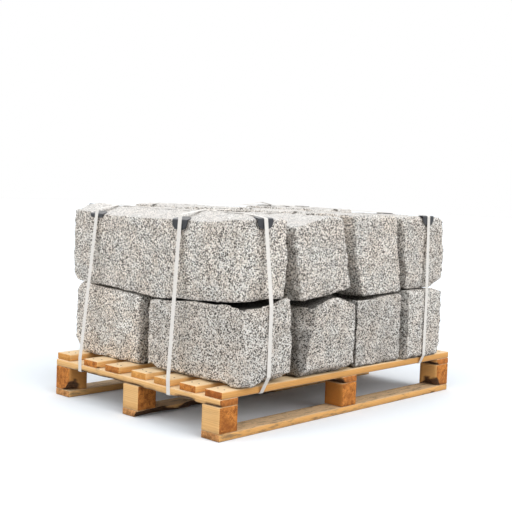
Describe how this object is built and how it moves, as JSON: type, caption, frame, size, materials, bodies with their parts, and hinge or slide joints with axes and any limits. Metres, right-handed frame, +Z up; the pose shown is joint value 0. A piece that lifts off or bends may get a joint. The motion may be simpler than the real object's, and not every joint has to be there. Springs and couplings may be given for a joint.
{
  "type": "pallet of granite walling stones",
  "caption": "Wooden block pallet carrying two courses of rough split grey granite walling stones, bound by crossed plastic straps over corner protectors.",
  "frame": {"origin": "centre of the pallet's underside, on the floor face of the middle skid", "axes": "+X along the pallet's length (skids and deck boards), +Y along its width (stringers), +Z up; the corner nearest the camera is at -X -Y"},
  "size_m": [1.2026, 0.8519, 0.6764],
  "materials": {
    "granite": "rough split granite, salt and pepper grain",
    "board_wood": "sawn softwood, oiled honey colour",
    "block_wood": "sawn softwood block",
    "strap": "white polypropylene band",
    "protector": "charcoal moulded plastic",
    "nail_steel": "dull wire nail heads, slightly rusted"
  },
  "bodies": {
    "root": {"block_left_back": "block_wood", "block_left_front": "block_wood", "block_left_middle": "block_wood", "block_middle_back": "block_wood", "block_middle_front": "block_wood", "block_middle_middle": "block_wood", "block_right_back": "block_wood", "block_right_front": "block_wood", "block_right_middle": "block_wood", "corner_protector_back_left": "protector", "corner_protector_back_right": "protector", "corner_protector_front_left": "protector", "corner_protector_front_right": "protector", "corner_protector_left_front": "protector", "corner_protector_left_rear": "protector", "corner_protector_right_front": "protector", "corner_protector_right_rear": "protector", "deck_board_1": "board_wood", "deck_board_2": "board_wood", "deck_board_3": "board_wood", "deck_board_4": "board_wood", "deck_board_5": "board_wood", "deck_board_6": "board_wood", "deck_board_7": "board_wood", "lower_stone_1_back": "granite", "lower_stone_1_front": "granite", "lower_stone_2": "granite", "lower_stone_3_back": "granite", "lower_stone_3_front": "granite", "lower_stone_4": "granite", "skid_back": "board_wood", "skid_front": "board_wood", "skid_middle": "board_wood", "strap_front": "strap", "strap_left": "strap", "strap_rear": "strap", "strap_right": "strap", "strap_tail": "strap", "stringer_left": "board_wood", "stringer_middle": "board_wood", "stringer_right": "board_wood", "upper_stone_1": "granite", "upper_stone_2_back": "granite", "upper_stone_2_front": "granite", "upper_stone_3": "granite", "upper_stone_4_back": "granite", "upper_stone_4_front": "granite"}
  },
  "joints": []
}
